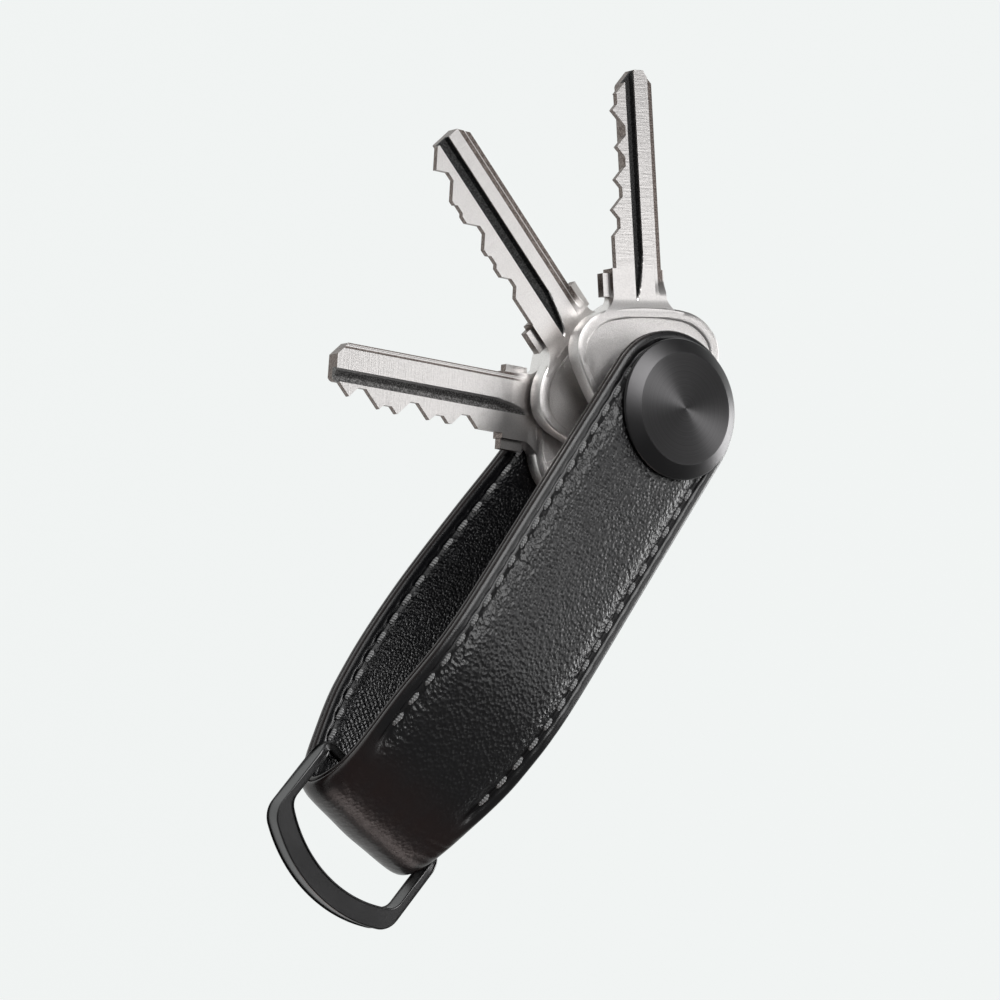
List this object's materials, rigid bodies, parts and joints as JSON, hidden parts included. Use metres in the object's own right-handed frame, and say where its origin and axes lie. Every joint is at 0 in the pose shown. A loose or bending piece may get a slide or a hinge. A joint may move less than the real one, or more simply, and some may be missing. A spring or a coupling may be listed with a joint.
{
  "type": "key organiser",
  "caption": "Leather strap folded round a D-ring and clamped on a lockable post, from which flat keys fan out like a pocket knife's blades.",
  "frame": {"origin": "centre of the front cap's flat face, on the post's axis", "axes": "+Z along the post, out of the front cap; +Y from the strap's fold to the post; +X to the right seen from the front"},
  "size_m": [0.0545, 0.1108, 0.023],
  "materials": {
    "leather": "pebbled black, satin",
    "lining": "fine grained black, satin",
    "foam": "matt foam board",
    "plate": "plain sheet",
    "cap": "dark anodised, spun face",
    "post": "turned",
    "spacer": "moulded black",
    "key": "bright nickel silver, milled",
    "ring": "satin black",
    "rivet": "bright"
  },
  "bodies": {
    "organiser": {"outer_leather": "leather", "lining_leather": "lining", "padding": "foam", "front_stiffener": "plate", "rear_stiffener": "plate", "front_cap": "cap", "rear_cap": "cap", "post_barrel": "post", "front_spacer_outer": "spacer", "front_spacer_inner": "spacer", "middle_spacer": "spacer", "rear_friction_washer": "spacer", "fold_rivet_left": "rivet", "fold_rivet_right": "rivet"},
    "spring_washer": {"spring_washer": "post"},
    "lock_screw": {"lock_screw": "post"},
    "key_front": {"key_front": "key"},
    "key_middle": {"key_middle": "key"},
    "key_rear": {"key_rear": "key"},
    "ring": {"d_ring": "ring"}
  },
  "joints": [
    {"name": "key_front_swing", "type": "hinge", "parent": "organiser", "child": "key_front", "pos_m": [0, 0, -0.0076], "axis": [0, 0, 1], "continuous": true},
    {"name": "key_middle_swing", "type": "hinge", "parent": "organiser", "child": "key_middle", "pos_m": [0, 0, -0.0117], "axis": [0, 0, 1], "continuous": true},
    {"name": "key_rear_swing", "type": "hinge", "parent": "organiser", "child": "key_rear", "pos_m": [0, 0, -0.0145], "axis": [0, 0, 1], "continuous": true},
    {"name": "ring_swing", "type": "hinge", "parent": "organiser", "child": "ring", "pos_m": [-0.0001, -0.0617, -0.01335], "axis": [0.9976, -0.0698, 0], "range_deg": [-40, 45]},
    {"name": "washer_back_off", "type": "slide", "parent": "organiser", "child": "spring_washer", "axis": [0, 0, -1], "range_m": [0, 0.001]},
    {"name": "lock_turn", "type": "hinge", "parent": "spring_washer", "child": "lock_screw", "pos_m": [0, 0, -0.0196], "axis": [0, 0, -1], "range_deg": [0, 720]}
  ],
  "couplings": [
    {"joint": "lock_turn", "follows": "washer_back_off", "rad_per_m": 12566}
  ]
}
